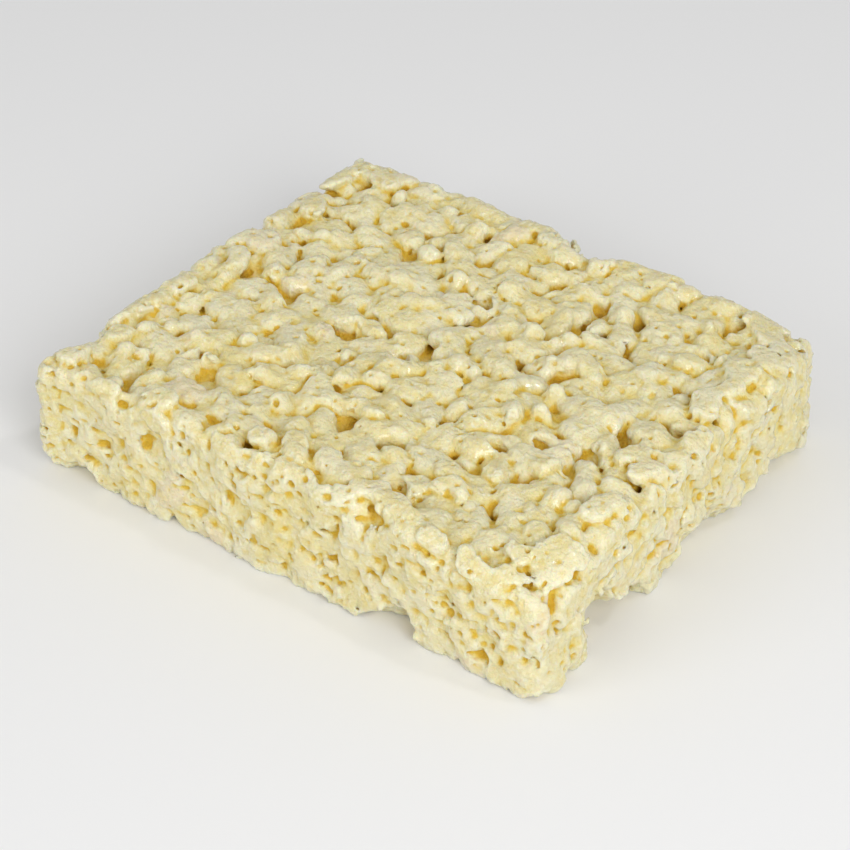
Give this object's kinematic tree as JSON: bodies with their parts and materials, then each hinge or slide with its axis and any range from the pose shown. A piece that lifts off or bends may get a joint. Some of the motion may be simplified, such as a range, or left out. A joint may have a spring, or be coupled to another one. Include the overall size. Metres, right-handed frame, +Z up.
{
  "type": "rice crispy treat",
  "caption": "Rectangular block of crisped rice grains bound with marshmallow, with uneven cut sides and a flat base.",
  "frame": {"origin": "middle of the flat base that the treat lies on", "axes": "+Z up through the thickness, +X along the long side, +Y along the short side"},
  "size_m": [0.081, 0.069, 0.018],
  "materials": {
    "crisped_rice": "puffed rice under a thin, slightly glossy coat of marshmallow"
  },
  "bodies": {
    "root": {"treat": "crisped_rice"}
  },
  "joints": []
}
